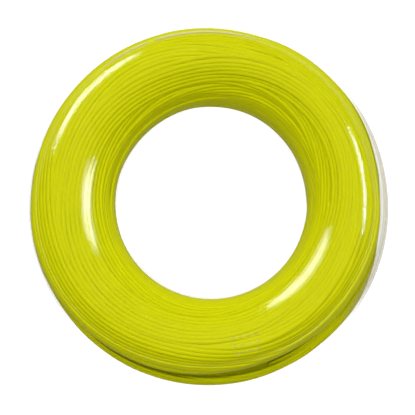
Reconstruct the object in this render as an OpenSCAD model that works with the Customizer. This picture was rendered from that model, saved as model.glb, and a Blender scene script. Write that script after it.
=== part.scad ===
// Reel of racket string: one long length of monofilament wound into a ring, with no spool,
// held by a clear shrink film that is open through the eye of the ring.
// All sizes are in millimetres. +Z is the axis of the ring, and the ring lies on z = 0.
// A section is drawn in the half plane X = distance from the axis, Y = height.

/* [Ring] */
// Diameter of the eye, between the film's walls
eye_d = 63.5; // [60:0.5:67]
// Outer diameter over the film
outer_d = 120; // [116:0.5:126]
// Height of the ring as it lies flat
coil_h = 28; // [26:0.5:34]
// How far the rim stands out past the crown's outer side
ledge_w = 3; // [2.6:0.1:4]

/* [Corners of the section] */
// Radius of the crown on its outer side
crown_r = 9.5; // [8:0.25:11]
// Radius between the base and the rim
rim_r = 6; // [4.5:0.25:6.5]
// Radius between the base and the eye
eye_edge_r = 4; // [3:0.25:4.5]

/* [String] */
// Diameter of the string
string_d = 1.25; // [1.1:0.05:1.4]
// Height at which the upper turns lie on the lower ones
lay_z = 9.4; // [9:0.1:10]
// Width of the bundle of first turns, wound against the mandrel
eye_turns_w = 5; // [4:0.25:8]
// Rounding of a lay where it meets the next one
lay_corner_r = 3; // [2.8:0.1:3.2]
// Room between two lays
lay_gap = 0.1; // [0.05:0.05:0.2]

/* [String ends] */
// Length of the first end, tucked in at the eye
start_end_len = 30; // [15:1:60]
// Direction of the first end's cut face
start_end_at = 60; // [0:5:355]
// Length of the last end, lying in the groove of the rim
finish_end_len = 45; // [20:1:80]
// Direction of the last end's cut face
finish_end_at = 290; // [0:5:355]
// Room between an end and the turns beside it
end_gap = 0.1; // [0.05:0.05:0.15]

/* [Film] */
// Thickness of the film
film_t = 0.2; // [0.1:0.05:0.3]
// Room between the film and the turns
film_gap = 0.15; // [0.1:0.05:0.3]
// Height at the middle of the lap where the two films are sealed
lap_z = 10.75; // [9:0.25:11]
// Height of the lap
lap_h = 3; // [1.5:0.25:4]
// Room between the two films in the lap
lap_gap = 0.1; // [0.05:0.05:0.15]

/* [Closing tape] */
// Length of the tape along the rim
tape_len = 33; // [20:1:60]
// Height that the tape covers
tape_w = 14; // [8:0.5:16]
// Height of the middle of the tape
tape_z = 12; // [11:0.5:13]
// Thickness of the tape
tape_t = 0.15; // [0.1:0.05:0.3]
// Room between the tape and the film
tape_gap = 0.05; // [0.05:0.05:0.1]
// Direction of the middle of the tape
tape_at = 90; // [0:5:355]

/* [Vent holes] */
// Diameter of a vent hole in the front film
vent_d = 0.7; // [0.5:0.1:1]
// Distance between two vent holes
vent_pitch = 2.4; // [1.8:0.1:3]
// Vent holes across the crown
vent_rows = 3; // [1:1:4]
// Vent holes along the crown
vent_columns = 4; // [1:1:6]
// Direction of the middle of the vent holes
vent_at = 283; // [0:1:359]

/* [Hidden] */

$fn = 96;
string_sides = 24;          // sides of one string's circle
far = outer_d;              // longer than any section

eye_r = eye_d / 2;
outer_r = outer_d / 2;
crest_r = outer_r - ledge_w - crown_r;      // where the crown starts to fall to the rim
string_r = string_d / 2;

// In the lap the front film lies inside the back one, one step further in.
lap_step = film_t + lap_gap;
lap_low = lap_z - lap_h / 2;
lap_high = lap_z + lap_h / 2;

// The crown falls to the eye in one arc, which ends where the straight wall of the lap starts.
crown_in_r = min(crest_r - eye_r, coil_h - lap_high);

// From a film's outer face to the turns under it.
skin = film_t + film_gap;
turns_in = eye_r + lap_step + skin;
turns_out = outer_r - lap_step - skin;
lay_low = lay_z - lay_gap / 2;
lay_high = lay_z + lay_gap / 2;

yellow = [0.79, 0.81, 0.03];
clear = [0.88, 0.90, 0.92, 0.30];

// ---- Sections made of corners ----
// A section is a closed path of corners [distance, height, radius], counter-clockwise,
// joined by the straight lines that touch two neighbouring corners.

// A point at an angle on a circle about a corner's centre.
function on_circle(corner, radius, angle) =
    [corner[0] + radius * cos(angle), corner[1] + radius * sin(angle)];

function within_one(x) = max(-1, min(1, x));

// The outward direction of the line that touches corner a and then corner b.
function side_angle(a, b) =
    atan2(b[1] - a[1], b[0] - a[0])
    - acos(within_one((a[2] - b[2]) / norm([b[0] - a[0], b[1] - a[1]])));

// The same angle, taken one turn at a time until it is past the one before.
function after(angle, before) =
    angle < before - 0.001 ? after(angle + 360, before)
    : angle >= before + 359.9 ? after(angle - 360, before)
    : angle;

// For each corner, the outward angles at which its arc starts and ends.
function arc_span(corners, k) =
    let (count = len(corners),
         start = side_angle(corners[(k + count - 1) % count], corners[k]),
         end = side_angle(corners[k], corners[(k + 1) % count]))
    [start, after(end, start)];

// Lengths of corner k's arc, and of the line that follows it, at an inset.
function arc_length(corners, k, inset) =
    let (span = arc_span(corners, k))
    (corners[k][2] - inset) * (span[1] - span[0]) * PI / 180;

function line_ends(corners, k, inset) =
    let (next = (k + 1) % len(corners), angle = arc_span(corners, k)[1])
    [on_circle(corners[k], corners[k][2] - inset, angle),
     on_circle(corners[next], corners[next][2] - inset, angle)];

function line_length(corners, k, inset) =
    let (ends = line_ends(corners, k, inset))
    norm(ends[1] - ends[0]);

function path_length(corners, inset, k = 0) =
    k == len(corners) ? 0
    : arc_length(corners, k, inset) + line_length(corners, k, inset)
      + path_length(corners, inset, k + 1);

// The point that lies a given way along the path, from the start of corner k's arc.
function path_point(corners, inset, way, k = 0) =
    let (arc = arc_length(corners, k, inset), side = line_length(corners, k, inset))
    way <= arc ? on_circle(corners[k], corners[k][2] - inset,
                           arc_span(corners, k)[0] + way / (corners[k][2] - inset) * 180 / PI)
    : way <= arc + side ? let (ends = line_ends(corners, k, inset))
                          ends[0] + (ends[1] - ends[0]) * (way - arc) / side
    : path_point(corners, inset, way - arc - side, (k + 1) % len(corners));

// The slice of corner k's disc between the two lines that touch it.
module corner_slice(corners, k, inset) {
    span = arc_span(corners, k);
    radius = corners[k][2] - inset;
    middle = (span[0] + span[1]) / 2;
    reach = 2 * radius;         // past the disc
    intersection() {
        translate([corners[k][0], corners[k][1]]) circle(radius);
        polygon([
            [corners[k][0], corners[k][1]],
            on_circle(corners[k], reach, span[0]),
            on_circle(corners[k], 2 * reach, middle),
            on_circle(corners[k], reach, span[1])
        ]);
    }
}

// The whole section, drawn in by inset; a negative inset draws it out.
module section(corners, inset = 0) {
    polygon([
        for (k = [0 : len(corners) - 1]) each [
            on_circle(corners[k], corners[k][2] - inset, arc_span(corners, k)[0]),
            on_circle(corners[k], corners[k][2] - inset, arc_span(corners, k)[1])
        ]
    ]);
    for (k = [0 : len(corners) - 1]) corner_slice(corners, k, inset);
}

// A bundle of turns: solid inside, with one string beside the other all round its section.
module turns_section(corners) {
    way_round = path_length(corners, string_r);
    count = floor(way_round / string_d);
    section(corners, string_r);
    for (i = [0 : count - 1])
        translate(path_point(corners, string_r, (i + 0.5) * way_round / count))
            circle(d = string_d, $fn = string_sides);
}

// ---- The corners of each section ----

// A film's outer face, with its walls drawn in by a step and its crest where it was.
function film_corners(step) =
    let (crown_out = crown_r - step, crown_in = crown_in_r - step)
    [
        [outer_r - step - rim_r, rim_r, rim_r],
        [crest_r, coil_h - crown_out, crown_out],
        [eye_r + crown_in_r, coil_h - crown_in, crown_in],
        [eye_r + step + eye_edge_r, eye_edge_r, eye_edge_r]
    ];

front_corners = film_corners(lap_step);
back_corners = film_corners(0);

crown_turn_out = crown_r - lap_step - skin;
crown_turn_in = crown_in_r - lap_step - skin;
upper_corners = [
    [crest_r + crown_turn_out - lay_corner_r, lay_high + lay_corner_r, lay_corner_r],
    [crest_r, coil_h - skin - crown_turn_out, crown_turn_out],
    [eye_r + crown_in_r, coil_h - skin - crown_turn_in, crown_turn_in],
    [turns_in + lay_corner_r, lay_high + lay_corner_r, lay_corner_r]
];

rim_turn_r = rim_r - skin;
eye_turns_out = turns_in + eye_turns_w;
lower_corners = [
    [turns_out - rim_turn_r, skin + rim_turn_r, rim_turn_r],
    [turns_out - lay_corner_r, lay_low - lay_corner_r, lay_corner_r],
    [eye_turns_out + lay_gap + string_d, lay_low - string_d, string_d],
    [eye_turns_out + lay_gap + string_d, skin + string_d, string_d]
];

eye_turn_r = eye_edge_r - skin;
eye_corners = [
    [eye_turns_out - string_d, skin + string_d, string_d],
    [eye_turns_out - string_d, lay_low - string_d, string_d],
    [turns_in + lay_corner_r, lay_low - lay_corner_r, lay_corner_r],
    [turns_in + eye_turn_r, skin + eye_turn_r, eye_turn_r]
];

// An end's centre lies this far from the centre of a lay's corner that it touches.
end_reach = lay_corner_r + string_r + end_gap;
// The first end nests at the eye, between the upper lay's corner and the one below it.
start_end_x = turns_in + lay_corner_r
    - sqrt(pow(end_reach, 2) - pow(lay_corner_r + lay_gap / 2, 2));
// The last end lies on the ledge of the lower turns, against the upper lay's corner.
finish_end_y = lay_low + end_gap + string_r;
finish_end_x = upper_corners[0][0]
    + sqrt(pow(end_reach, 2) - pow(upper_corners[0][1] - finish_end_y, 2));

// ---- Pieces ----

module ring_turns(corners) {
    color(yellow) rotate_extrude() turns_section(corners);
}

module upper_turns() {
    ring_turns(upper_corners);
}

module lower_turns() {
    ring_turns(lower_corners);
}

module eye_turns() {
    ring_turns(eye_corners);
}

// A stretch of string that follows the ring, from its cut face on into the turns.
module string_end(x, y, length, at) {
    color(yellow)
        rotate([0, 0, at])
            rotate_extrude(angle = length / x * 180 / PI)
                translate([x, y]) circle(d = string_d, $fn = string_sides);
}

module start_end() {
    string_end(start_end_x, lay_z, start_end_len, start_end_at);
}

module finish_end() {
    string_end(finish_end_x, finish_end_y, finish_end_len, finish_end_at);
}

module film_section(corners, low, high) {
    intersection() {
        difference() {
            section(corners);
            section(corners, film_t);
        }
        translate([0, low]) square([far, high - low]);
    }
}

// Vertical holes through the crown, in rows beside the crest.
module vent_holes() {
    rotate([0, 0, vent_at])
        for (row = [0 : vent_rows - 1], column = [0 : vent_columns - 1])
            translate([
                crest_r + (row - (vent_rows - 1) / 2) * vent_pitch,
                (column - (vent_columns - 1) / 2) * vent_pitch,
                coil_h / 2
            ])
                cylinder(h = coil_h, d = vent_d, $fn = string_sides);
}

// The front film covers the crown, and its two skirts are tucked into the back film.
module film_front() {
    color(clear) difference() {
        rotate_extrude() film_section(front_corners, lap_low, far);
        vent_holes();
    }
}

// The back film covers the base, and its wall is the one that a spindle meets in the eye.
module film_back() {
    color(clear) rotate_extrude() film_section(back_corners, -film_t, lap_high);
}

// A strip of clear tape that closes the lap on the rim.
module closing_tape() {
    turn = tape_len / outer_r * 180 / PI;
    color(clear)
        rotate([0, 0, tape_at - turn / 2])
            rotate_extrude(angle = turn)
                intersection() {
                    difference() {
                        section(back_corners, -tape_gap - tape_t);
                        section(back_corners, -tape_gap);
                    }
                    translate([crest_r, tape_z - tape_w / 2]) square([far, tape_w]);
                }
}

upper_turns();
lower_turns();
eye_turns();
start_end();
finish_end();
film_front();
film_back();
closing_tape();
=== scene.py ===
"""A reel of racket string: one long string wound into a ring, under a clear shrink film."""

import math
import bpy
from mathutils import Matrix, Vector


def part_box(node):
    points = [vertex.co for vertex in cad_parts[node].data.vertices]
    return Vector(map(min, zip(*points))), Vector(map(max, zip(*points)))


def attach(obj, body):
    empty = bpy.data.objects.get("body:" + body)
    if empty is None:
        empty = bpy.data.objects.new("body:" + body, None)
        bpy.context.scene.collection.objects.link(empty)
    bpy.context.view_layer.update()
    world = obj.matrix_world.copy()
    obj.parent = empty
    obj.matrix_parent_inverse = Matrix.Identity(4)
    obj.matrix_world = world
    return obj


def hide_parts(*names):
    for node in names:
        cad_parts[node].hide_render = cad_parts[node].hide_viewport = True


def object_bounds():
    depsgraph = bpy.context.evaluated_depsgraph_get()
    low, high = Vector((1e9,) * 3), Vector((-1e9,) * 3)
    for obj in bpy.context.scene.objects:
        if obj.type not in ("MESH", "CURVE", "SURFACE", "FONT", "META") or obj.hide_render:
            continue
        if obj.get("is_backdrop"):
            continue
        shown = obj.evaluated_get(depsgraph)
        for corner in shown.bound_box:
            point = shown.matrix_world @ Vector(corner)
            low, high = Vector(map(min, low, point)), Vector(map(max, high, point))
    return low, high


bl_info = {
    "name": "String Reel",
    "version": (1, 0, 0),
    "blender": (4, 5, 0),
    "location": "View3D > Sidebar > String Reel",
    "description": "Winds a ring of string, shrinks a clear film over it and lights it",
    "category": "Add Mesh",
}

from functools import partialmethod

import bpy
import numpy as np
from bpy.props import FloatProperty, FloatVectorProperty, IntProperty, PointerProperty
from mathutils import Matrix, Vector
from mathutils.bvhtree import BVHTree

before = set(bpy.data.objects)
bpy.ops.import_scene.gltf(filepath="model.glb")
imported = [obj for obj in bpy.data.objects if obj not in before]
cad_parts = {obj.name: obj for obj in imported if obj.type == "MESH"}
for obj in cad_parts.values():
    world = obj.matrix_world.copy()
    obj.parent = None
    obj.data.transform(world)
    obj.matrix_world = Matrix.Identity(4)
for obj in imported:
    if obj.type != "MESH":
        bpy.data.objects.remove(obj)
CAD_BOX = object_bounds()
BODY = "root"
MM = 0.001


# ---- Sizes that come from the frame ----

def mesh_points(mesh):
    """A mesh's vertices, one in a row."""
    points = np.zeros(len(mesh.vertices) * 3)
    mesh.vertices.foreach_get("co", points)
    return points.reshape(-1, 3)


def distance_of(points):
    """How far points are from the axis of the ring."""
    return np.hypot(points[..., 0], points[..., 1])


def angle_of(points):
    """The direction in which points lie from the axis, counter-clockwise from +X."""
    return np.arctan2(points[..., 1], points[..., 0])


def node_points(name):
    """A CAD node's vertices."""
    return mesh_points(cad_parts[name].data)


def distances(name):
    """How far a CAD node's vertices are from the axis."""
    return distance_of(node_points(name))


EYE_R = distances("film_back").min()
OUTER_R = distances("film_back").max()
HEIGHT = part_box("film_front")[1].z
STRING_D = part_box("start_end")[1].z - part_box("start_end")[0].z
LAP_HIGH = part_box("film_back")[1].z
LAP_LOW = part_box("film_front")[0].z
LAP_STEP = distances("film_front").min() - EYE_R
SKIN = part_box("lower_turns")[0].z
LAY_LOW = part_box("lower_turns")[1].z
LAY_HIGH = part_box("upper_turns")[0].z
TURNS_IN = distances("eye_turns").min()
TURNS_OUT = distances("lower_turns").max()
EYE_TURNS_OUT = distances("eye_turns").max()


# ---- Settings ----

def length(name, description, default):
    """A setting that is a length."""
    return FloatProperty(name=name, description=description, default=default,
                         subtype="DISTANCE", unit="LENGTH")


def number(name, description, default):
    """A setting that is a plain number, whole if its default is."""
    kind = IntProperty if isinstance(default, int) else FloatProperty
    return kind(name=name, description=description, default=default)


def turned(name, description, degrees):
    """A setting that is an angle, with its default in degrees."""
    return FloatProperty(name=name, description=description, default=math.radians(degrees),
                         subtype="ANGLE", unit="ROTATION")


def tint(name, description, default):
    """A setting that is a colour."""
    return FloatVectorProperty(name=name, description=description, default=default,
                               subtype="COLOR", size=3, min=0, max=1)


class StringSettings(bpy.types.PropertyGroup):
    """How the string is wound and what it looks like."""

    turn_pitch: length(
        "Turn Pitch", "Distance between two turns that lie side by side", STRING_D * 1.02)
    samples: number("Samples", "Points along one turn", 144)
    sides: number("Sides", "Sides of the string's circle", 8)
    half_width: length(
        "Half Width", "Half the width of the string where turns lie on it", STRING_D * 0.62)
    half_height: length(
        "Half Height", "Half the height of the string where turns lie on it", STRING_D * 0.36)
    press: number("Press", "Share of the pile's unevenness that is left under the film", 0.22)
    shortest_group: number(
        "Shortest Group", "Fewest turns laid side by side before the hand moves on", 5)
    longest_group: number(
        "Longest Group", "Most turns laid side by side before the hand moves on", 12)
    step_over: length("Step Over", "How far the hand moves between two groups of turns", 6 * MM)
    wander: length("Wander", "How far a turn strays to the side as it goes round", 1.7 * MM)
    seed: number("Seed", "Picks another winding", 11)
    colour: tint("Colour", "Colour of the string", (0.775, 0.790, 0.001))
    deep_colour: tint(
        "Deep Colour", "Colour where the string is thicker or less lit", (0.705, 0.725, 0.001))


class SectionSettings(bpy.types.PropertyGroup):
    """The corners of the ring's section that the frame doesn't tell."""

    crown_r: length("Crown Radius", "Radius of the crown on its outer side", 9.5 * MM)
    ledge_w: length("Ledge Width", "How far the rim stands out past the crown's outer side", 3 * MM)
    rim_r: length("Rim Radius", "Radius between the base and the rim", 6 * MM)
    eye_edge_r: length("Eye Edge Radius", "Radius between the base and the eye", 4 * MM)
    lay_corner_r: length(
        "Lay Corner Radius", "Rounding of a lay where it meets the next one", 3 * MM)


class FilmSettings(bpy.types.PropertyGroup):
    """How the film lies on the turns."""

    thickness: length("Thickness", "Thickness of the film", 0.08 * MM)
    clearance: length("Clearance", "Room between the film and the turns it touches", 0.02 * MM)
    deepest: length(
        "Deepest", "How far the film sinks in between turns before it bridges them", 0.35 * MM)
    slack: length("Slack", "How much deeper it may sink on top of the ring", 2.0 * MM)
    ripple: number("Ripple", "Share of the turns' ridges that shows in the film", 0.08)
    ridge_height: length("Ridge Height", "Height of the fine ridges in the film's gloss", 0.08 * MM)
    # The milk marks are scaled by this haze and drawn in this haze colour; along the crown's outer
    # side at +Y they are a painted highlight.
    haze_and_glint: number("Haze", "How milky the film is where it stands off the turns", 0.22)
    haze_and_glint_colour: tint("Haze Colour", "Colour of milky film", (0.97, 0.90, 0.56))
    loose_from: length(
        "Loose From", "Gap to the turns at which the film starts to look milky", 1.2 * MM)
    loose_to: length("Loose To", "Gap to the turns at which the film is fully milky", 2.0 * MM)


class VentSettings(bpy.types.PropertyGroup):
    """The holes through the front film that let the air out when it shrinks."""

    diameter: length("Diameter", "Diameter of a vent hole", 0.7 * MM)
    pitch: length("Pitch", "Distance between two vent holes", 2.4 * MM)
    rows: number("Rows", "Rows of vent holes, across the ring", 3)
    columns: number("Columns", "Columns of vent holes, along the ring", 4)
    at: turned("At", "Direction of the middle of the vent holes", 283)
    bead: length("Bead", "Thickness of the bead of film round a vent hole", 0.16 * MM)


class StageSettings(bpy.types.PropertyGroup):
    """Camera, lamps and table."""

    distance: length("Distance", "From the camera to the middle of the ring", 0.522)
    tilt: turned("Tilt", "How far the camera leans away from straight above", 7.5)
    side: turned("Side", "Direction in which the camera leans, from -Y towards +X", -8)
    aim: FloatVectorProperty(
        name="Aim", description="Point on the table's plane above which the camera aims",
        size=2, subtype="XYZ", unit="LENGTH", default=(-1.15 * MM, -2.0 * MM))
    focal_length: number("Focal Length", "Focal length of the lens in millimetres", 140.8)
    fill: number("Fill", "Brightness of the room's walls on matt surfaces", 0.1)
    fill_above: number("Fill Above", "Brightness of the room's ceiling on matt surfaces", 2.3)
    gloss_fill: number("Gloss Fill", "Brightness of the room in glossy surfaces", 0.01)
    overhead: FloatVectorProperty(
        name="Overhead", description="Direction of the room's brightest part", size=3,
        subtype="DIRECTION", default=(0.0, 0.28, 0.96))
    corner_glow: number("Corner Glow", "Radiance of the soft box in the corner", 14.0)
    side_glow: number("Side Glow", "Radiance of the soft box at the side", 24.0)


SETTINGS = {
    "reel_string": StringSettings,
    "reel_section": SectionSettings,
    "reel_film": FilmSettings,
    "reel_vents": VentSettings,
    "reel_stage": StageSettings,
}


# ---- Sections ----

class Section:
    """A closed path of corners [distance, height, radius], counter-clockwise, joined by the
    lines that touch them. A way is a length along it, from the start of the first arc."""

    arc_step = math.radians(3)

    def __init__(self, corners, inset=0.0):
        corners = [(distance, height, radius - inset) for distance, height, radius in corners]
        sides = [self.side_angle(a, b) for a, b in zip(corners, corners[1:] + corners[:1])]
        rows, self.starts = [], []
        for k, (distance, height, radius) in enumerate(corners):
            turn = (sides[k] - sides[k - 1] + 1e-6) % math.tau
            self.starts.append(len(rows))
            for angle in np.linspace(0, turn, 2 + int(turn / self.arc_step)) + sides[k - 1]:
                out = math.cos(angle), math.sin(angle)
                rows.append((distance + radius * out[0], height + radius * out[1], *out))
        rows.append(rows[0])
        self.rows = np.array(rows)
        steps = np.hypot(*np.diff(self.rows[:, :2], axis=0).T)
        self.ways = np.concatenate([[0], np.cumsum(steps)])
        self.length = self.ways[-1]

    @staticmethod
    def side_angle(a, b):
        """The outward direction of the line that touches corner a and then corner b."""
        apart = math.hypot(b[0] - a[0], b[1] - a[1])
        lean = math.acos(max(-1, min(1, (a[2] - b[2]) / apart)))
        return math.atan2(b[1] - a[1], b[0] - a[0]) - lean

    def corner(self, k):
        """The way at which corner k's arc starts."""
        return self.ways[self.starts[k]]

    def line(self, k):
        """The way at which corner k's arc ends and its line starts."""
        last = self.starts[k + 1] if k + 1 < len(self.starts) else len(self.rows) - 1
        return self.ways[last - 1]

    def at(self, way):
        """Distance, height and the outward direction's two parts."""
        way = np.mod(way, self.length)
        return [np.interp(way, self.ways, column) for column in self.rows.T]

    def place(self, angle, way, lift=0.0):
        """Points in space, and the outward direction at each."""
        distance, height, out, up = self.at(way)
        return around(angle, distance + lift * out, height + lift * up), around(angle, out, up)


def around(angle, distance, height):
    """Points or directions at an angle round the axis, a distance from it and a height."""
    return np.stack([distance * np.cos(angle), distance * np.sin(angle), height + 0 * angle], -1)


def crest_radius(settings):
    """Radius of the ring's crest, which is the middle of the crown's outer corner."""
    return OUTER_R - settings.ledge_w - settings.crown_r


def sections(settings):
    """The sections of the three bundles, and of the films' outer faces, as in the CAD model."""
    crest_r = crest_radius(settings)
    crown_in_r = min(crest_r - EYE_R, HEIGHT - LAP_HIGH)
    corner_r = settings.lay_corner_r
    turn_out, turn_in = (r - LAP_STEP - SKIN for r in (settings.crown_r, crown_in_r))
    rim_turn_r, eye_turn_r = settings.rim_r - SKIN, settings.eye_edge_r - SKIN
    lower_in = EYE_TURNS_OUT + SKIN
    found = {
        "upper": [
            (crest_r + turn_out - corner_r, LAY_HIGH + corner_r, corner_r),
            (crest_r, HEIGHT - SKIN - turn_out, turn_out),
            (EYE_R + crown_in_r, HEIGHT - SKIN - turn_in, turn_in),
            (TURNS_IN + STRING_D, LAY_HIGH + STRING_D, STRING_D),
        ],
        "lower": [
            (TURNS_OUT - rim_turn_r, SKIN + rim_turn_r, rim_turn_r),
            (TURNS_OUT - corner_r, LAY_LOW - corner_r, corner_r),
            (lower_in + corner_r, LAY_LOW - corner_r, corner_r),
            (lower_in + corner_r, SKIN + corner_r, corner_r),
        ],
        "eye": [
            (EYE_TURNS_OUT - STRING_D, SKIN + STRING_D, STRING_D),
            (EYE_TURNS_OUT - STRING_D, LAY_LOW - STRING_D, STRING_D),
            (TURNS_IN + STRING_D, LAY_LOW - STRING_D, STRING_D),
            (TURNS_IN + eye_turn_r, SKIN + eye_turn_r, eye_turn_r),
        ],
    }
    for name, step in (("front", LAP_STEP), ("back", 0.0)):
        found[name] = [
            (OUTER_R - step - settings.rim_r, settings.rim_r, settings.rim_r),
            (crest_r, HEIGHT - settings.crown_r + step, settings.crown_r - step),
            (EYE_R + crown_in_r, HEIGHT - crown_in_r + step, crown_in_r - step),
            (EYE_R + step + settings.eye_edge_r, settings.eye_edge_r, settings.eye_edge_r),
        ]
    return found


# ---- Fields round the ring ----

def smooth(x):
    """0 below 0, 1 above 1, and a soft step between."""
    x = np.clip(x, 0, 1)
    return x * x * (3 - 2 * x)


def bump(angle, middle, half_width):
    """1 at the middle direction, and 0 past half_width degrees to either side."""
    apart = (np.degrees(angle) - middle + 180) % 360 - 180
    return smooth(1 - np.abs(apart) / half_width)


def bumps(angle, *shapes):
    """The sum of bumps, each given as its height, middle and half width."""
    return sum(height * bump(angle, middle, half) for height, middle, half in shapes)


def shifted(field, reach, axis, closed):
    """The field moved along one axis by each number of cells up to reach, to either side. A
    closed field goes on at its other end."""
    pads = [(0, 0)] * field.ndim
    pads[axis] = (reach, reach)
    padded = np.pad(field, pads, mode="wrap" if closed else "edge")
    count = field.shape[axis]
    return [np.take(padded, np.arange(i, i + count), axis) for i in range(2 * reach + 1)]


def blurred(field, width, axis, closed):
    """The field with a Gaussian of that width, in cells, drawn over it along one axis."""
    reach = int(math.ceil(3 * width))
    weights = np.exp(-0.5 * (np.arange(-reach, reach + 1) / width) ** 2)
    weights /= weights.sum()
    return sum(weight * cut for weight, cut in zip(weights, shifted(field, reach, axis, closed)))


def least_near(field, reach, axis, closed):
    """The least value within reach cells along one axis."""
    return np.min(shifted(field, reach, axis, closed), 0)


# ---- Winding ----

class Winding:
    """Turns laid one after the other over a stretch of a section. Rows are turns and columns
    are points along a turn. ways holds where each point lies along the section, and lifts how
    far it lies above the section's path."""

    rest_reach = 0.92       # string diameters between two turns that still rest on each other
    rest_depth = 1.2        # string diameters under the top, below which nothing shows
    waves = 5               # how many waves a turn's wander is made of
    wave_fall = 0.8         # power by which shorter waves are smaller
    hand_turns = 0.18       # how much of a turn the hand takes to move to another place
    end_room = 9 * MM       # from the ends of the stretch to where a turn's wander is whole
    cell_width = 0.35 * MM  # width of a cell of the grid along the section
    level_reach = 3 * MM    # how far along the section the top is levelled out
    level_turns = 1 / 30    # how much of a turn the top is levelled out round the ring
    cover_at = -0.4, 0, 0.4  # where what covers a string is looked for, in diameters
    way_easing = 1.5        # points over which a turn's way is eased
    easing = 2              # points over which a turn's height and what shows are eased
    shown_share = 0.02      # eased share above which a point still shows
    fewest_points = 4       # stretches with no more points than this are left out

    def __init__(self, settings, section, start, end, turns, seed):
        self.settings, self.section = settings, section
        self.start, self.width, self.turns = start, end - start, turns
        self.random = np.random.default_rng(settings.seed + seed)
        self.angles = np.arange(settings.samples) / settings.samples * math.tau
        self.ways = self.lay_ways()
        self.lifts = self.level(self.pile_up())

    def lay_ways(self):
        """To and fro in groups of turns that lie side by side, each group with its own wander."""
        settings, random = self.settings, self.random
        count = settings.samples
        wave = np.arange(1, self.waves + 1)
        size = settings.wander / wave ** self.wave_fall
        place, direction = 0.0, 1
        hands, wanders = [], []
        while len(hands) < self.turns:
            group = random.integers(settings.shortest_group, settings.longest_group + 1)
            wander = random.normal(0, 1, (2, self.waves)) * size / math.sqrt(2)
            for _ in range(group):
                hands.append(place + direction * settings.turn_pitch * self.angles / math.tau)
                wanders.append(np.broadcast_to(wander, (count, 2, self.waves)))
                place += direction * settings.turn_pitch
                if not 0 < place < self.width:
                    direction = -direction
                    place = min(max(place, 0), self.width)
            place = min(max(place + random.uniform(-1, 1) * settings.step_over, 0), self.width)
        hand = np.concatenate(hands[:self.turns])
        wander = np.concatenate(wanders[:self.turns])
        hand = blurred(hand, self.hand_turns * count, 0, False)
        wander = blurred(wander, self.hand_turns * count, 0, False)
        room = smooth(np.minimum(hand, self.width - hand) / self.end_room)
        angle = np.tile(self.angles, self.turns)[:, None] * wave
        stray = (wander[:, 0] * np.cos(angle) + wander[:, 1] * np.sin(angle)).sum(1)
        ways = np.clip(hand + room * stray, 0, self.width)
        return self.start + blurred(ways, self.way_easing, 0, False).reshape(self.turns, count)

    def pile_up(self):
        """How high each turn lies when it rests on those laid before it."""
        count = self.settings.samples
        heights = np.zeros((self.turns, count))
        reach = STRING_D * self.rest_reach
        for k in range(1, self.turns):
            apart = np.abs(self.ways[:k] - self.ways[k])
            rise = np.sqrt(np.maximum(reach ** 2 - apart ** 2, 0))
            heights[k] = np.where(apart < reach, heights[:k] + rise, 0).max(0)
        return blurred(heights.reshape(-1), self.easing, 0, False).reshape(self.turns, count)

    def top(self, heights):
        """The upper side of all turns, on a grid of angles and ways."""
        cells = int(self.width / self.cell_width)
        self.grid = self.start + (np.arange(cells) + 0.5) * self.width / cells
        top = np.full((self.settings.samples, cells), heights.min())
        for ways, height in zip(self.ways, heights):
            apart = np.abs(self.grid[None, :] - ways[:, None])
            rise = np.sqrt(np.maximum((STRING_D / 2) ** 2 - apart ** 2, 0))
            top = np.maximum(top, np.where(apart < STRING_D / 2, height[:, None] + rise, top))
        return top

    def on_grid(self, field, ways):
        """A grid's values at each turn's points, moved by an offset along the section."""
        cell = (ways - self.grid[0]) / (self.grid[1] - self.grid[0])
        cell = np.clip(np.round(cell).astype(int), 0, len(self.grid) - 1)
        return field[np.arange(field.shape[0])[None, :], cell]

    def level(self, heights):
        """The heights with the pile's slow swells taken out, so that the film lies even."""
        top = self.top(heights)
        cell = self.grid[1] - self.grid[0]
        reach = int(STRING_D / cell)
        over = -least_near(-top, reach, 1, False)
        over = blurred(over, self.level_reach / cell, 1, False)
        over = blurred(over, self.settings.samples * self.level_turns, 0, True)
        lifts = heights + STRING_D / 2 - self.on_grid(over, self.ways)
        lifts = self.settings.press * np.minimum(lifts, 0)
        deep = np.full(heights.shape, np.inf)
        for offset in self.cover_at:
            cover = self.on_grid(top, self.ways + offset * STRING_D) - heights
            deep = np.minimum(deep, cover)
        self.shown = deep < self.rest_depth * STRING_D
        return lifts

    def runs(self):
        """The stretches of string that show: angles, ways, lifts and the turn's number."""
        count = self.settings.samples
        shown = self.shown.reshape(-1).astype(float)
        shown = blurred(shown, self.easing, 0, False) > self.shown_share
        edges = np.flatnonzero(np.diff(np.concatenate([[0], shown.astype(int), [0]])))
        angles = np.tile(self.angles, self.turns)
        for first, last in zip(edges[::2], edges[1::2]):
            if last - first > self.fewest_points:
                part = slice(first, last)
                turn = np.arange(first, last) / count
                yield angles[part], self.ways.reshape(-1)[part], self.lifts.reshape(-1)[part], turn


def select_only(*pieces):
    """Selects these pieces alone, with the last one active."""
    bpy.ops.object.select_all(action="DESELECT")
    for piece in pieces:
        piece.select_set(True)
    bpy.context.view_layer.objects.active = pieces[-1]


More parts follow.
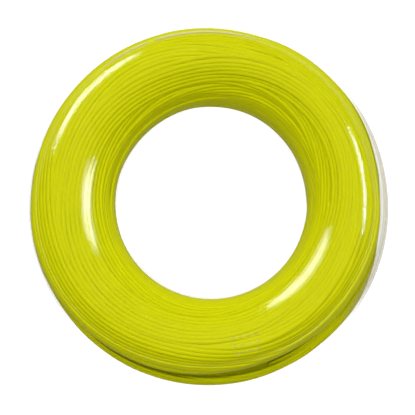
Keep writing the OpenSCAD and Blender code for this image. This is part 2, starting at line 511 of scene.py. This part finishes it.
def string_tube(name, stretches, settings):
    """One mesh of closed tubes, pressed a little flat. Each stretch has its points, the
    outward direction at each, and the turn that each belongs to."""
    curve = bpy.data.curves.new(name, "CURVE")
    curve.dimensions = "3D"
    curve.fill_mode = "FULL"
    curve.bevel_depth = settings.half_width
    curve.bevel_resolution = settings.sides // 2 - 2
    curve.use_fill_caps = True
    for points, _, _ in stretches:
        spline = curve.splines.new("POLY")
        spline.points.add(len(points) - 1)
        spline.points.foreach_set("co", np.c_[points, np.ones(len(points))].ravel())
    piece = bpy.data.objects.new(name, curve)
    bpy.context.scene.collection.objects.link(piece)
    select_only(piece)
    bpy.ops.object.convert(target="MESH")
    piece = bpy.context.object
    # The conversion puts the caps first, from the last stretch to the first.
    middles, out, turns = (
        np.repeat(np.concatenate([row[[-1, 0]] for row in reversed(rows)]
                                 + list(rows)), settings.sides, axis=0)
        for rows in zip(*stretches))
    offsets = mesh_points(piece.data) - middles
    flat = 1 - settings.half_height / settings.half_width
    offsets -= flat * (offsets * out).sum(1)[:, None] * out
    set_points(piece, middles + offsets)
    mark_points(piece, "turn", turns)
    close_seam(piece)
    piece.data.shade_smooth()
    return piece


# ---- The ring isn't quite round ----

# A bump is a height in millimetres, and a middle and a half width in degrees.
RIM_BUMPS = ((-0.6, 42, 40),)
CROWN_BUMPS = ((0.7, -65, 80), (0.5, 285, 40), *RIM_BUMPS)
LEDGE_BUMPS = ((0.4, -65, 50), (3.0, 0, 40), (0.9, -38, 45), (1.2, 38, 32), *RIM_BUMPS)
EYE_BUMPS = ((0.6, 145, 80),)
EYE_TURNS_BUMPS = ((-0.9, 230, 110), (-0.5, 90, 80))
FILM_EYE_BUMPS = ((0.6, 240, 110),)
GROOVE_DEPTH = 4 * MM
GROOVE_SIDE = 0.8 * MM      # width of the step from the brim into the groove
GROOVE_LOW = 3 * MM         # height up to which the ledge isn't sunk
GROOVE_RISE = 5 * MM        # how much higher it is sunk in full


def moved_in(points, inward):
    """Points moved towards the axis."""
    distance = distance_of(points)
    scale = (distance - inward) / distance
    return points * np.stack([scale, scale, np.ones_like(scale)], -1)


def rim_shift(angle):
    """How far the whole ring's rim lies further in than a round one."""
    slow = 0.8 * (1 - np.cos(angle - math.radians(215)))
    return MM * (slow + bumps(angle, *RIM_BUMPS))


def crown_shift(angle):
    """How far the upper turns lie further in at the rim than a round bundle."""
    slow = 1.9 * np.cos(angle + math.radians(10)) + 1.35 * smooth((np.sin(angle) + 0.3) / 0.5)
    return MM * (slow - 0.2 + bumps(angle, *CROWN_BUMPS))


def ledge_shift(angle):
    """How far the lower turns lie further in at the rim than a round bundle."""
    slow = 0.3 * (1 - np.cos(angle - math.radians(240)))
    return MM * (slow + 0.4 + bumps(angle, *LEDGE_BUMPS))


def settle(points, rim=rim_shift, eye_bumps=()):
    """Moves points to where the ring really lies: its eye and its rim aren't quite concentric.
    rim gives how far in the rim lies, and eye_bumps how much further in the eye lies."""
    angle = angle_of(points)
    share = smooth((distance_of(points) - EYE_R) / (OUTER_R - EYE_R))
    slow = 0.65 - 0.50 * np.sin(angle) + 0.29 * np.cos(2 * angle)
    eye = MM * (slow + bumps(angle, *EYE_BUMPS, *eye_bumps))
    return moved_in(points, rim(angle) * share + eye * (1 - share))


def with_groove(points):
    """Sinks the ledge where it meets the crown, which leaves a groove on the -Y side. The brim,
    a strip along the ledge's edge, and what is low down stay where they are."""
    angle = angle_of(points)
    inside = TURNS_OUT - ledge_shift(angle) - distance_of(points)
    brim = (1.1 + 0.6 * smooth((np.degrees(angle) % 360 - 235) / 35)) * MM
    depth = GROOVE_DEPTH * smooth(2 * bump(angle, 260, 52))
    depth *= smooth((inside - brim) / GROOVE_SIDE)
    depth *= smooth((points[..., 2] - GROOVE_LOW) / GROOVE_RISE)
    return points - depth[..., None] * np.array([0, 0, 1])


def settle_string(points, lay):
    """Moves string points with the ring, each bundle a little off its middle."""
    if lay == "upper":
        return settle(points, crown_shift)
    if lay == "lower":
        return with_groove(settle(points, ledge_shift))
    return settle(points, eye_bumps=EYE_TURNS_BUMPS)


# ---- Rolled sheets: a grid that becomes a ring or a strip of one ----

def rolled_grid(name, columns, rows):
    """A flat grid, whose columns will go round the ring and rows along the section."""
    bpy.ops.object.select_all(action="DESELECT")
    bpy.ops.mesh.primitive_grid_add(x_subdivisions=columns, y_subdivisions=rows, size=1)
    piece = bpy.context.object
    piece.name = piece.data.name = name
    along, across = mesh_points(piece.data)[:, :2].T + 0.5
    return piece, along, across


def set_points(piece, points):
    """Moves a mesh's vertices to these points."""
    piece.data.vertices.foreach_set("co", points.astype(np.float32).reshape(-1))
    piece.data.update()


def mark_points(piece, name, values):
    """Gives each vertex a number that the finish can read."""
    mark = piece.data.attributes.new(name, "FLOAT", "POINT")
    mark.data.foreach_set("value", values.astype(np.float32))


def close_seam(piece):
    """Merges the doubles where a piece meets itself, and turns its faces outwards."""
    bpy.context.view_layer.objects.active = piece
    bpy.ops.object.mode_set(mode="EDIT")
    bpy.ops.mesh.select_all(action="SELECT")
    bpy.ops.mesh.remove_doubles(threshold=1e-6)
    bpy.ops.mesh.normals_make_consistent(inside=False)
    bpy.ops.object.mode_set(mode="OBJECT")


def apply_modifier(piece, kind, **values):
    """Adds a modifier with these values and applies it."""
    modifier = piece.modifiers.new(kind.title(), kind)
    for key, value in values.items():
        setattr(modifier, key, value)
    bpy.context.view_layer.objects.active = piece
    bpy.ops.object.modifier_apply(modifier=modifier.name)


# ---- Finishes ----

class Value:
    """A socket's value. Arithmetic on it adds Math nodes."""

    def __init__(self, finish, socket):
        self.finish, self.socket = finish, socket

    def apply(self, operation, *values):
        return self.finish.node("Math", {"operation": operation}, self, *values)

    __add__ = partialmethod(apply, "ADD")
    __sub__ = partialmethod(apply, "SUBTRACT")
    __mul__ = partialmethod(apply, "MULTIPLY")
    __pow__ = partialmethod(apply, "POWER")

    def __rsub__(self, other):
        return (self * -1.0) + other


class Finish:
    """A material's or world's nodes, written as expressions."""

    def __init__(self, owner):
        """owner is a world, or a new material's name."""
        self.owner = bpy.data.materials.new(owner) if isinstance(owner, str) else owner
        self.owner.use_nodes = True
        self.tree = self.owner.node_tree
        self.tree.nodes.clear()

    def node(self, kind, settings=None, *values, out=0, **named):
        """Adds a node with its settings, and with values or links on its sockets, in order or
        by name, and gives one of its outputs. kind is its type without ShaderNode."""
        made = self.tree.nodes.new("ShaderNode" + kind)
        for key, value in (settings or {}).items():
            setattr(made, key, value)
        sockets = [(made.inputs[i], value) for i, value in enumerate(values)]
        sockets += [(made.inputs[key.replace("_", " ")], value) for key, value in named.items()]
        for socket, value in sockets:
            if isinstance(value, Value):
                self.tree.links.new(value.socket, socket)
            else:
                socket.default_value = value
        return Value(self, made.outputs[out]) if made.outputs else None

    def attribute(self, name):
        return self.node("Attribute", {"attribute_name": name}, out="Fac")

    def ray(self, kind):
        """1 for a ray of that kind and 0 for others."""
        return self.node("LightPath", out=f"Is {kind} Ray")

    def mix(self, share, *colours):
        """A colour between two fixed ones."""
        mixed = self.node("Mix", {"data_type": "RGBA"}, share, out=2)
        ends = [socket for socket in mixed.socket.node.inputs if socket.type == "RGBA"]
        for socket, colour in zip(ends, colours):
            socket.default_value = colour
        return mixed

    def ramp(self, value, low, high, start, end):
        """A soft step from start, at low, to end, at high."""
        return self.node("MapRange", {"interpolation_type": "SMOOTHSTEP"}, value, low, high,
                         start, end)

    def surface(self, shader):
        self.node("OutputMaterial", Surface=shader)
        return self.owner


def string_finish(settings):
    """Smooth extruded monofilament: each turn has a tone of its own, which drifts along it."""
    finish = Finish("lime_string")
    turn = finish.attribute("turn")
    place = finish.node("TexCoord", out="Object")
    whole = finish.node("Math", {"operation": "FLOOR"}, turn)
    tone = finish.node("TexWhiteNoise", {"noise_dimensions": "1D"}, W=whole * 7.31, out="Value")
    drift = finish.node("TexNoise", {"noise_dimensions": "1D"}, W=turn * 9.0, Detail=2.0)
    grain = finish.node("TexNoise", Vector=place, Scale=900.0, Detail=3.0)
    share = tone * 0.45 + drift * 0.7 + grain * 0.15 - 0.2
    colour = finish.mix(share, (*settings.colour, 1), (*settings.deep_colour, 1))
    bump_normal = finish.node("Bump", Strength=0.15, Distance=0.02 * MM, Height=grain)
    shader = finish.node(
        "BsdfPrincipled", Base_Color=colour, Roughness=grain * 0.12 + 0.36,
        IOR=1.5, Specular_IOR_Level=0.02, Normal=bump_normal)
    return finish.surface(shader)


def film_finish(name, settings, roughness, colour):
    """Clear film: see-through, with a gloss that fades where the film stands upright, and as
    milky as its vertices are marked. On the front film, a thin milky line along the crown's
    outer side is a painted highlight."""
    finish = Finish(name)
    facing = finish.node("LayerWeight", Blend=0.5, out="Facing")
    place = finish.node("TexCoord", out="Object")
    upright = finish.node("NewGeometry", out="True Normal")
    lean = finish.node("SeparateXYZ", None, upright, out="Z").apply("ABSOLUTE")
    smear = finish.node("TexNoise", Vector=place, Scale=120.0, Detail=3.0)
    level = finish.node("VectorMath", {"operation": "MULTIPLY"}, place, (1, 1, 0))
    level = finish.node("VectorMath", {"operation": "NORMALIZE"}, level)
    ridge = finish.node("CombineXYZ", None, 0.0, 0.0, finish.attribute("across"))
    ridge = finish.node("VectorMath", {"operation": "MULTIPLY_ADD"}, level, (9.0, 9.0, 0.0), ridge)
    ridge = finish.node("TexNoise", Vector=ridge, Scale=2.6, Detail=2.0)
    ridges = finish.node("Bump", Strength=1.0, Distance=settings.ridge_height, Height=ridge)
    gloss = finish.node(
        "BsdfPrincipled", Base_Color=(0.97, 0.97, 0.96, 1), Metallic=1.0,
        Roughness=smear * 0.06 + roughness, Normal=ridges)
    clear = finish.node("BsdfTransparent", Color=colour)
    mirror = (facing ** 5.0 * 0.15 + 0.03) * finish.ramp(lean, 0.6, 0.82, 0.0, 1.0)
    film = finish.node("MixShader", None, mirror, clear, gloss)
    # Milky film, and on the front film a painted highlight along the crown's outer side, both drawn
    # from the milk marks by the pale shader below.
    milk = finish.attribute("milk") * settings.haze_and_glint
    white = finish.node("BsdfPrincipled", Roughness=0.6, Base_Color=(*settings.haze_and_glint_colour, 1))
    return finish.surface(finish.node("MixShader", None, milk, film, white))


# ---- Pieces ----

PACKED_DEPTH = 0.7 * STRING_D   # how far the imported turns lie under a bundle's face
PACKED_CORNER_R = 2 * STRING_D  # least radius of the corners that they follow
FILM_COLUMNS, FILM_ROWS = 300, 150
PROBE_OUT, PROBE_IN = 3 * MM, 4 * MM    # how far out and in from a film turns are looked for
RIM_STRIP, EYE_STRIP = 3.6 * MM, 2 * MM # widths of what counts as its rim and its eye
PIN_LENGTH = 2 * MM             # of the pin that punches a vent hole
TAPE_LIFT = 0.3 * MM            # from the film's round path to the tape
TAPE_THICKNESS = 0.06 * MM
END_POINTS = 48                 # points along one of the string's ends
END_TUCK = 0.9 * MM             # how far an end goes in between the turns
END_TURN = 300                  # number of the turn whose tone the ends have


def finish_piece(piece, material, slot, *nodes):
    """Gives a piece its finish and ties it to the frame."""
    piece.data.materials.clear()
    piece.data.materials.append(material)
    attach(piece, BODY)
    if nodes:
        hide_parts(*nodes)


def wound_material(context):
    """The string's material, made once."""
    return bpy.data.materials.get("lime_string") or string_finish(context.scene.reel_string)


def wind_bundle(context, lay, start, end, turns, seed):
    """Winds one bundle and, but for the eye's, puts the solid mass of its hidden turns under
    it. start and end give the ways between which the hand goes to and fro."""
    node, settings = lay + "_turns", context.scene.reel_string
    corners = sections(context.scene.reel_section)[lay]
    path = Section(corners, settings.half_height)
    winding = Winding(settings, path, start(path), end(path), turns, seed)
    stretches = []
    for angles, ways, lifts, turn in winding.runs():
        points, out = path.place(angles, ways, lifts)
        stretches.append((settle_string(points, lay), out, turn))
    piece = string_tube(node + "_wound", stretches, settings)
    finish_piece(piece, wound_material(context), "string", node)
    if lay == "eye":
        return
    rounder = [(distance, height, max(radius, PACKED_CORNER_R))
               for distance, height, radius in corners]
    core_path = Section(rounder, PACKED_DEPTH)
    core, along, across = rolled_grid(node + "_packed", columns=96, rows=48)
    points, _ = core_path.place(along * math.tau, across * core_path.length)
    set_points(core, settle_string(points, lay))
    close_seam(core)
    core.data.shade_smooth()
    finish_piece(core, wound_material(context), "string")


class REEL_OT_upper_turns(bpy.types.Operator):
    """Wind the upper turns, which are the crown of the ring"""

    bl_idname = "reel.upper_turns"
    bl_label = "Wind Upper Turns"

    def execute(self, context):
        wind_bundle(context, "upper", lambda path: path.corner(0), lambda path: path.line(3),
                    turns=112, seed=1)
        return {"FINISHED"}


class REEL_OT_lower_turns(bpy.types.Operator):
    """Wind the lower turns, which are the base and the ledge on the flank"""

    bl_idname = "reel.lower_turns"
    bl_label = "Wind Lower Turns"

    def execute(self, context):
        wind_bundle(context, "lower", lambda path: path.line(3) - path.length,
                    lambda path: path.line(1) + 4 * MM, turns=72, seed=2)
        return {"FINISHED"}


class REEL_OT_eye_turns(bpy.types.Operator):
    """Wind the first turns, which line the eye below the crown"""

    bl_idname = "reel.eye_turns"
    bl_label = "Wind Eye Turns"

    def execute(self, context):
        wind_bundle(context, "eye", lambda path: path.corner(2), lambda path: path.length,
                    turns=34, seed=3)
        return {"FINISHED"}


def lay_end(context, node):
    """A stretch of string along the middle of a CAD end, from its cut face on into the turns."""
    angle = np.unwrap(angle_of(node_points(node)))
    low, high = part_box(node)
    distance = distances(node)
    middle = (distance.min() + distance.max()) / 2
    at_rim = middle > (EYE_R + OUTER_R) / 2
    angles = np.linspace(angle.min(), angle.max(), END_POINTS)
    part = np.linspace(0, 1, END_POINTS)
    tuck = smooth((part - 0.7) / 0.3) * END_TUCK
    distance = middle - tuck if at_rim else middle + tuck
    points = settle_string(around(angles, distance, (low.z + high.z) / 2),
                           "lower" if at_rim else "eye")
    piece = string_tube(node + "_string", [(points, around(angles, 1, 0), END_TURN + part)],
                        context.scene.reel_string)
    finish_piece(piece, wound_material(context), "string", node)


class REEL_OT_string_ends(bpy.types.Operator):
    """Lay the string's two ends"""

    bl_idname = "reel.string_ends"
    bl_label = "Lay String Ends"

    def execute(self, context):
        lay_end(context, "start_end")
        lay_end(context, "finish_end")
        return {"FINISHED"}


def wound_trees():
    """Search trees of all the string that the film can touch."""
    graph = bpy.context.evaluated_depsgraph_get()
    names = ("upper_turns_wound", "lower_turns_wound", "eye_turns_wound", "upper_turns_packed",
             "lower_turns_packed")
    return [BVHTree.FromObject(bpy.data.objects[name], graph) for name in names]


def painted_shoulder_glint(angle, outward, up):
    """A painted highlight on the front film: how milky it is marked in a thin line along the
    crown's outer side at +Y, which stands in for a glint there. It goes on fainter towards -X."""
    angle = np.degrees(angle)
    steep = smooth((0.72 - up) / 0.05) * smooth((up - 0.60) / 0.05) * (outward > 0)
    clear = smooth((110 - angle) / 1.5) * smooth((angle - 70) / 16)
    faint = smooth((angle - 112) / 2) * smooth((131 - angle) / 8)
    return steep * (2.6 * clear + 1.6 * faint)


def gap_to_turns(points, out):
    """How far under each point the nearest turn lies, or PROBE_IN where there is none."""
    trees = wound_trees()
    gap = np.full(len(points), PROBE_IN)
    for i, (point, direction) in enumerate(zip(points, out)):
        ray = Vector(point) + Vector(direction) * PROBE_OUT, -Vector(direction)
        for tree in trees:
            place, _, _, depth = tree.ray_cast(*ray, PROBE_IN + PROBE_OUT)
            if place is not None:
                gap[i] = min(gap[i], depth - PROBE_OUT)
    return gap


def milkiness(angle, distance, upright, at_rim):
    """How milky the back film is where it stands upright, in the eye and at the rim."""
    return 0.5 * upright * np.where(distance < EYE_R + EYE_STRIP, 1 - bump(angle, 90, 80),
                                    at_rim * (1 - bump(angle, 270, 110)))


def height_way(section, height, low, high):
    """The way between two others at which the section reaches a height."""
    ways = np.linspace(low, high, 2000)
    return ways[np.argmin(np.abs(section.at(ways)[1] - height))]


def film_ends(section, lay):
    """The ways at which the front or the back film starts and ends, on the rim and in the eye."""
    lap = LAP_LOW if lay == "front" else LAP_HIGH
    rim = height_way(section, lap, section.line(0), section.corner(1))
    eye = height_way(section, lap, section.line(2), section.corner(3))
    return (rim, eye) if lay == "front" else (eye - section.length, rim)


def shrink_film(context, lay):
    """A film that lies on the turns, bridges from one to the next and stands off the hollows.
    Widths of what is blurred are in cells, along the section (axis 0) or round the ring."""
    film, node = context.scene.reel_film, "film_" + lay
    section = Section(sections(context.scene.reel_section)[lay])
    start, end = film_ends(section, lay)
    piece, along, across = rolled_grid(node + "_skin", FILM_COLUMNS, FILM_ROWS)
    angle, way = along * math.tau, start + across * (end - start)
    points, out = section.place(angle, way)
    points = settle(points, eye_bumps=FILM_EYE_BUMPS)
    order = np.lexsort((along, across))

    def as_grid(values):
        return values[order].reshape(FILM_ROWS + 1, FILM_COLUMNS + 1)[:, :-1]

    def as_points(grid):
        values = np.empty(len(order))
        values[order] = np.concatenate([grid, grid[:, :1]], 1).reshape(-1)
        return values

    gap = gap_to_turns(points, out) - (film.thickness + film.clearance)
    deepest = film.deepest + film.slack * smooth((out[:, 2] - 0.15) / 0.4)
    field = as_grid(np.clip(gap, -PROBE_OUT, deepest))
    held = least_near(least_near(field, 7, 0, False), 4, 1, True)
    held = blurred(blurred(held, 6, 0, False), 6, 1, True)
    ripple = blurred(field - blurred(field, 4, 0, False), 0.8, 1, True)
    points -= out * as_points(held + film.ripple * ripple)[:, None]
    points[:, 2] = np.clip(points[:, 2], 0, HEIGHT)
    set_points(piece, moved_in(points, np.maximum(distance_of(points) - OUTER_R, 0)))

    distance, _, outward, up = section.at(way)
    at_rim = smooth((distance - OUTER_R + RIM_STRIP) / MM)
    wide = least_near(as_grid(gap * at_rim), 2, 1, True)
    wide = as_points(blurred(blurred(wide, 2, 0, False), 3, 1, True))
    loose = smooth((wide - film.loose_from) / (film.loose_to - film.loose_from))
    loose *= smooth((np.abs(np.cos(angle)) - 0.70) / 0.2)
    # On the front film the marks add a painted highlight along the crown's outer side; on the back
    # film, milkiness where it stands upright.
    if lay == "front":
        edge = painted_shoulder_glint(angle, outward, up)
    else:
        edge = milkiness(angle, distance, smooth(1 - np.abs(out[:, 2]) / 0.3), at_rim)
    mark_points(piece, "milk", np.maximum(loose, edge))
    mark_points(piece, "across", way / context.scene.reel_string.turn_pitch)
    close_seam(piece)
    apply_modifier(piece, "SOLIDIFY", thickness=film.thickness, offset=-1.0)
    piece.data.shade_smooth()
    material = bpy.data.materials.get("clear_film")
    material = material or film_finish("clear_film", film, 0.05, (1, 1, 1, 1))
    finish_piece(piece, material, "film", node)
    return piece


def joined(pieces):
    """Joins pieces into the last one."""
    select_only(*pieces)
    bpy.ops.object.join()
    return bpy.context.object


def punch_vents(context, piece):
    """Cuts the vent holes and puts a bead of film round each."""
    vents, section = context.scene.reel_vents, context.scene.reel_section
    crest_r = crest_radius(section)
    hole_r, bead_r = vents.diameter / 2, vents.bead / 2
    pins, beads = [], []
    for row in range(vents.rows):
        for column in range(vents.columns):
            across = crest_r + (row - (vents.rows - 1) / 2) * vents.pitch
            along = (column - (vents.columns - 1) / 2) * vents.pitch
            spot = Matrix.Rotation(vents.at, 3, "Z") @ Vector((across, along, 2 * HEIGHT))
            _, place, up, _ = piece.ray_cast(spot, Vector((0, 0, -1)))
            place.z = min(place.z, HEIGHT - bead_r)
            placed = {"location": place, "rotation": up.to_track_quat("Z", "Y").to_euler()}
            bpy.ops.mesh.primitive_cylinder_add(
                vertices=16, radius=hole_r, depth=PIN_LENGTH, **placed)
            pins.append(context.object)
            bpy.ops.mesh.primitive_torus_add(
                major_radius=hole_r + bead_r, minor_radius=bead_r, major_segments=16,
                minor_segments=6, **placed)
            bead = context.object
            bead.data.shade_smooth()
            bead.data.materials.append(piece.data.materials[0])
            mark_points(bead, "milk", np.ones(len(bead.data.vertices)))
            beads.append(bead)
    pin = joined(pins)
    apply_modifier(piece, "BOOLEAN", object=pin, operation="DIFFERENCE", solver="EXACT")
    bpy.data.objects.remove(pin)
    joined(beads + [piece])


class REEL_OT_front_film(bpy.types.Operator):
    """Shrink the front film over the crown"""

    bl_idname = "reel.front_film"
    bl_label = "Shrink Front Film"

    def execute(self, context):
        punch_vents(context, shrink_film(context, "front"))
        return {"FINISHED"}


class REEL_OT_back_film(bpy.types.Operator):
    """Shrink the back film round the base, the rim and the eye"""

    bl_idname = "reel.back_film"
    bl_label = "Shrink Back Film"

    def execute(self, context):
        shrink_film(context, "back")
        return {"FINISHED"}


class REEL_OT_closing_tape(bpy.types.Operator):
    """Stick the closing tape over the lap on the rim"""

    bl_idname = "reel.closing_tape"
    bl_label = "Stick Closing Tape"

    def execute(self, context):
        section = Section(sections(context.scene.reel_section)["back"])
        low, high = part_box("closing_tape")
        angle = angle_of(node_points("closing_tape"))
        first, last = (height_way(section, z, section.corner(0), section.corner(2))
                       for z in (low.z, high.z))
        piece, along, across = rolled_grid("closing_tape_strip", columns=90, rows=40)
        angles = angle.min() + along * (angle.max() - angle.min())
        points, _ = section.place(angles, first + across * (last - first), TAPE_LIFT)
        set_points(piece, settle(points))
        apply_modifier(piece, "SOLIDIFY", thickness=TAPE_THICKNESS, offset=1.0)
        piece.data.shade_smooth()
        material = film_finish("clear_tape", context.scene.reel_film, 0.08, (0.93, 0.97, 0.85, 1))
        finish_piece(piece, material, "tape", "closing_tape")
        return {"FINISHED"}


# ---- Stage ----

TRANSPARENT_BOUNCES = 32    # both films and the tape, on a ray's way in and out again
BOX_DISTANCE = 0.6          # from the middle of the ring to a soft box


def tilted(direction, tilt):
    """The way out at a direction from +X and a tilt from straight above."""
    return Vector((math.sin(tilt) * math.cos(direction), math.sin(tilt) * math.sin(direction),
                   math.cos(tilt)))


def looking_back(away, distance, upwards, target):
    """The matrix of a lamp or camera that stands away from its target and looks back at it."""
    side = upwards.cross(away).normalized()
    axes = Matrix((side, away.cross(side), away)).transposed()
    return Matrix.Translation(target + away * distance) @ axes.to_4x4()


def soft_box(name, direction, tilt, size, glow):
    """An oval lamp that only shows in the gloss. Its direction is counter-clockwise from +X and
    its tilt from straight above, both in degrees."""
    bpy.ops.object.light_add(type="AREA")
    lamp = bpy.context.object
    lamp.name = name
    lamp.visible_camera = lamp.visible_diffuse = False
    lamp.data.shape = "ELLIPSE"
    lamp.data.size, lamp.data.size_y = size
    lamp.data.energy = glow * math.pi * (size[0] * size[1] * math.pi / 4)
    away = tilted(math.radians(direction), math.radians(tilt))
    lamp.matrix_world = looking_back(away, BOX_DISTANCE, Vector((0, 0, 1)), Vector())


def table_finish():
    """A pale table that keeps the ring's shadow, and looks white to the camera and in gloss."""
    finish = Finish("pale_table")
    seen = finish.ray("Camera").apply("MAXIMUM", finish.ray("Glossy"))
    seen = seen.apply("MAXIMUM", finish.ray("Transmission"))
    matt = finish.node("BsdfDiffuse", Color=(0.25, 0.25, 0.25, 1))
    white = finish.node("Emission", Color=(1, 1, 1, 1), Strength=seen)
    return finish.surface(finish.node("AddShader", None, matt, white))


class REEL_OT_stage(bpy.types.Operator):
    """Set up the camera, the lamps, the room and the table"""

    bl_idname = "reel.stage"
    bl_label = "Set Up Stage"

    def execute(self, context):
        stage = context.scene.reel_stage
        self.camera(context, stage)
        soft_box("corner_box", direction=133, tilt=60, size=(0.42, 0.14), glow=stage.corner_glow)
        soft_box("side_box", direction=14, tilt=47.5, size=(0.31, 0.085), glow=stage.side_glow)
        self.room(context, stage)
        context.scene.cycles.transparent_max_bounces = TRANSPARENT_BOUNCES
        bpy.ops.mesh.primitive_plane_add(size=6, location=(0, 0, 0))
        table = context.object
        table.name = "table"
        table.data.materials.append(table_finish())
        table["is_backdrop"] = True
        return {"FINISHED"}

    def camera(self, context, stage):
        """A long lens that looks down at the ring."""
        away = tilted(stage.side - math.pi / 2, stage.tilt)
        target = Vector((*stage.aim, HEIGHT / 2))
        bpy.ops.object.camera_add()
        camera = context.object
        camera.matrix_world = looking_back(away, stage.distance, Vector((0, 1, 0)), target)
        camera.data.lens = stage.focal_length
        camera.data.sensor_width = 36
        camera.data.clip_start, camera.data.clip_end = 0.01, 20
        context.scene.camera = camera

    def room(self, context, stage):
        """A plain room: brighter above, white to the camera, and dim in gloss."""
        world = bpy.data.worlds.new("room")
        context.scene.world = world
        finish = Finish(world)
        ahead = finish.node("TexCoord", out="Generated")
        above = finish.node("VectorMath", {"operation": "DOT_PRODUCT"}, ahead, stage.overhead,
                            out="Value").apply("MAXIMUM", 0.0)
        light = above ** 2.0 * (stage.fill_above - stage.fill) + stage.fill
        light = light + finish.ray("Glossy") * (stage.gloss_fill - light)
        light = light + finish.ray("Camera") * (1.0 - light)
        finish.node("OutputWorld", Surface=finish.node("Background", Strength=light))


class REEL_PT_panel(bpy.types.Panel):
    """Lists the steps in their order"""

    bl_label = "String Reel"
    bl_idname = "REEL_PT_panel"
    bl_space_type = "VIEW_3D"
    bl_region_type = "UI"
    bl_category = "String Reel"

    def draw(self, context):
        for step in STEPS:
            self.layout.operator(step.bl_idname)
        for name, group in SETTINGS.items():
            settings = getattr(context.scene, name)
            for prop in group.__annotations__:
                self.layout.prop(settings, prop)


STEPS = (
    REEL_OT_stage,
    REEL_OT_upper_turns,
    REEL_OT_lower_turns,
    REEL_OT_eye_turns,
    REEL_OT_string_ends,
    REEL_OT_front_film,
    REEL_OT_back_film,
    REEL_OT_closing_tape,
)


def register():
    for group in SETTINGS.values():
        bpy.utils.register_class(group)
    for name, group in SETTINGS.items():
        setattr(bpy.types.Scene, name, PointerProperty(type=group))
    for step in (*STEPS, REEL_PT_panel):
        bpy.utils.register_class(step)


def unregister():
    for step in (REEL_PT_panel, *reversed(STEPS)):
        bpy.utils.unregister_class(step)
    for name in SETTINGS:
        delattr(bpy.types.Scene, name)
    for group in reversed(SETTINGS.values()):
        bpy.utils.unregister_class(group)


def main():
    register()
    for step in STEPS:
        family, name = step.bl_idname.split(".")
        getattr(getattr(bpy.ops, family), name)()
    bpy.context.scene.view_settings.view_transform = "Standard"
    corners = {"cad": CAD_BOX, "visual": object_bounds()}
    {name: [list(corner) for corner in box] for name, box in corners.items()}


if __name__ == "__main__":
    main()
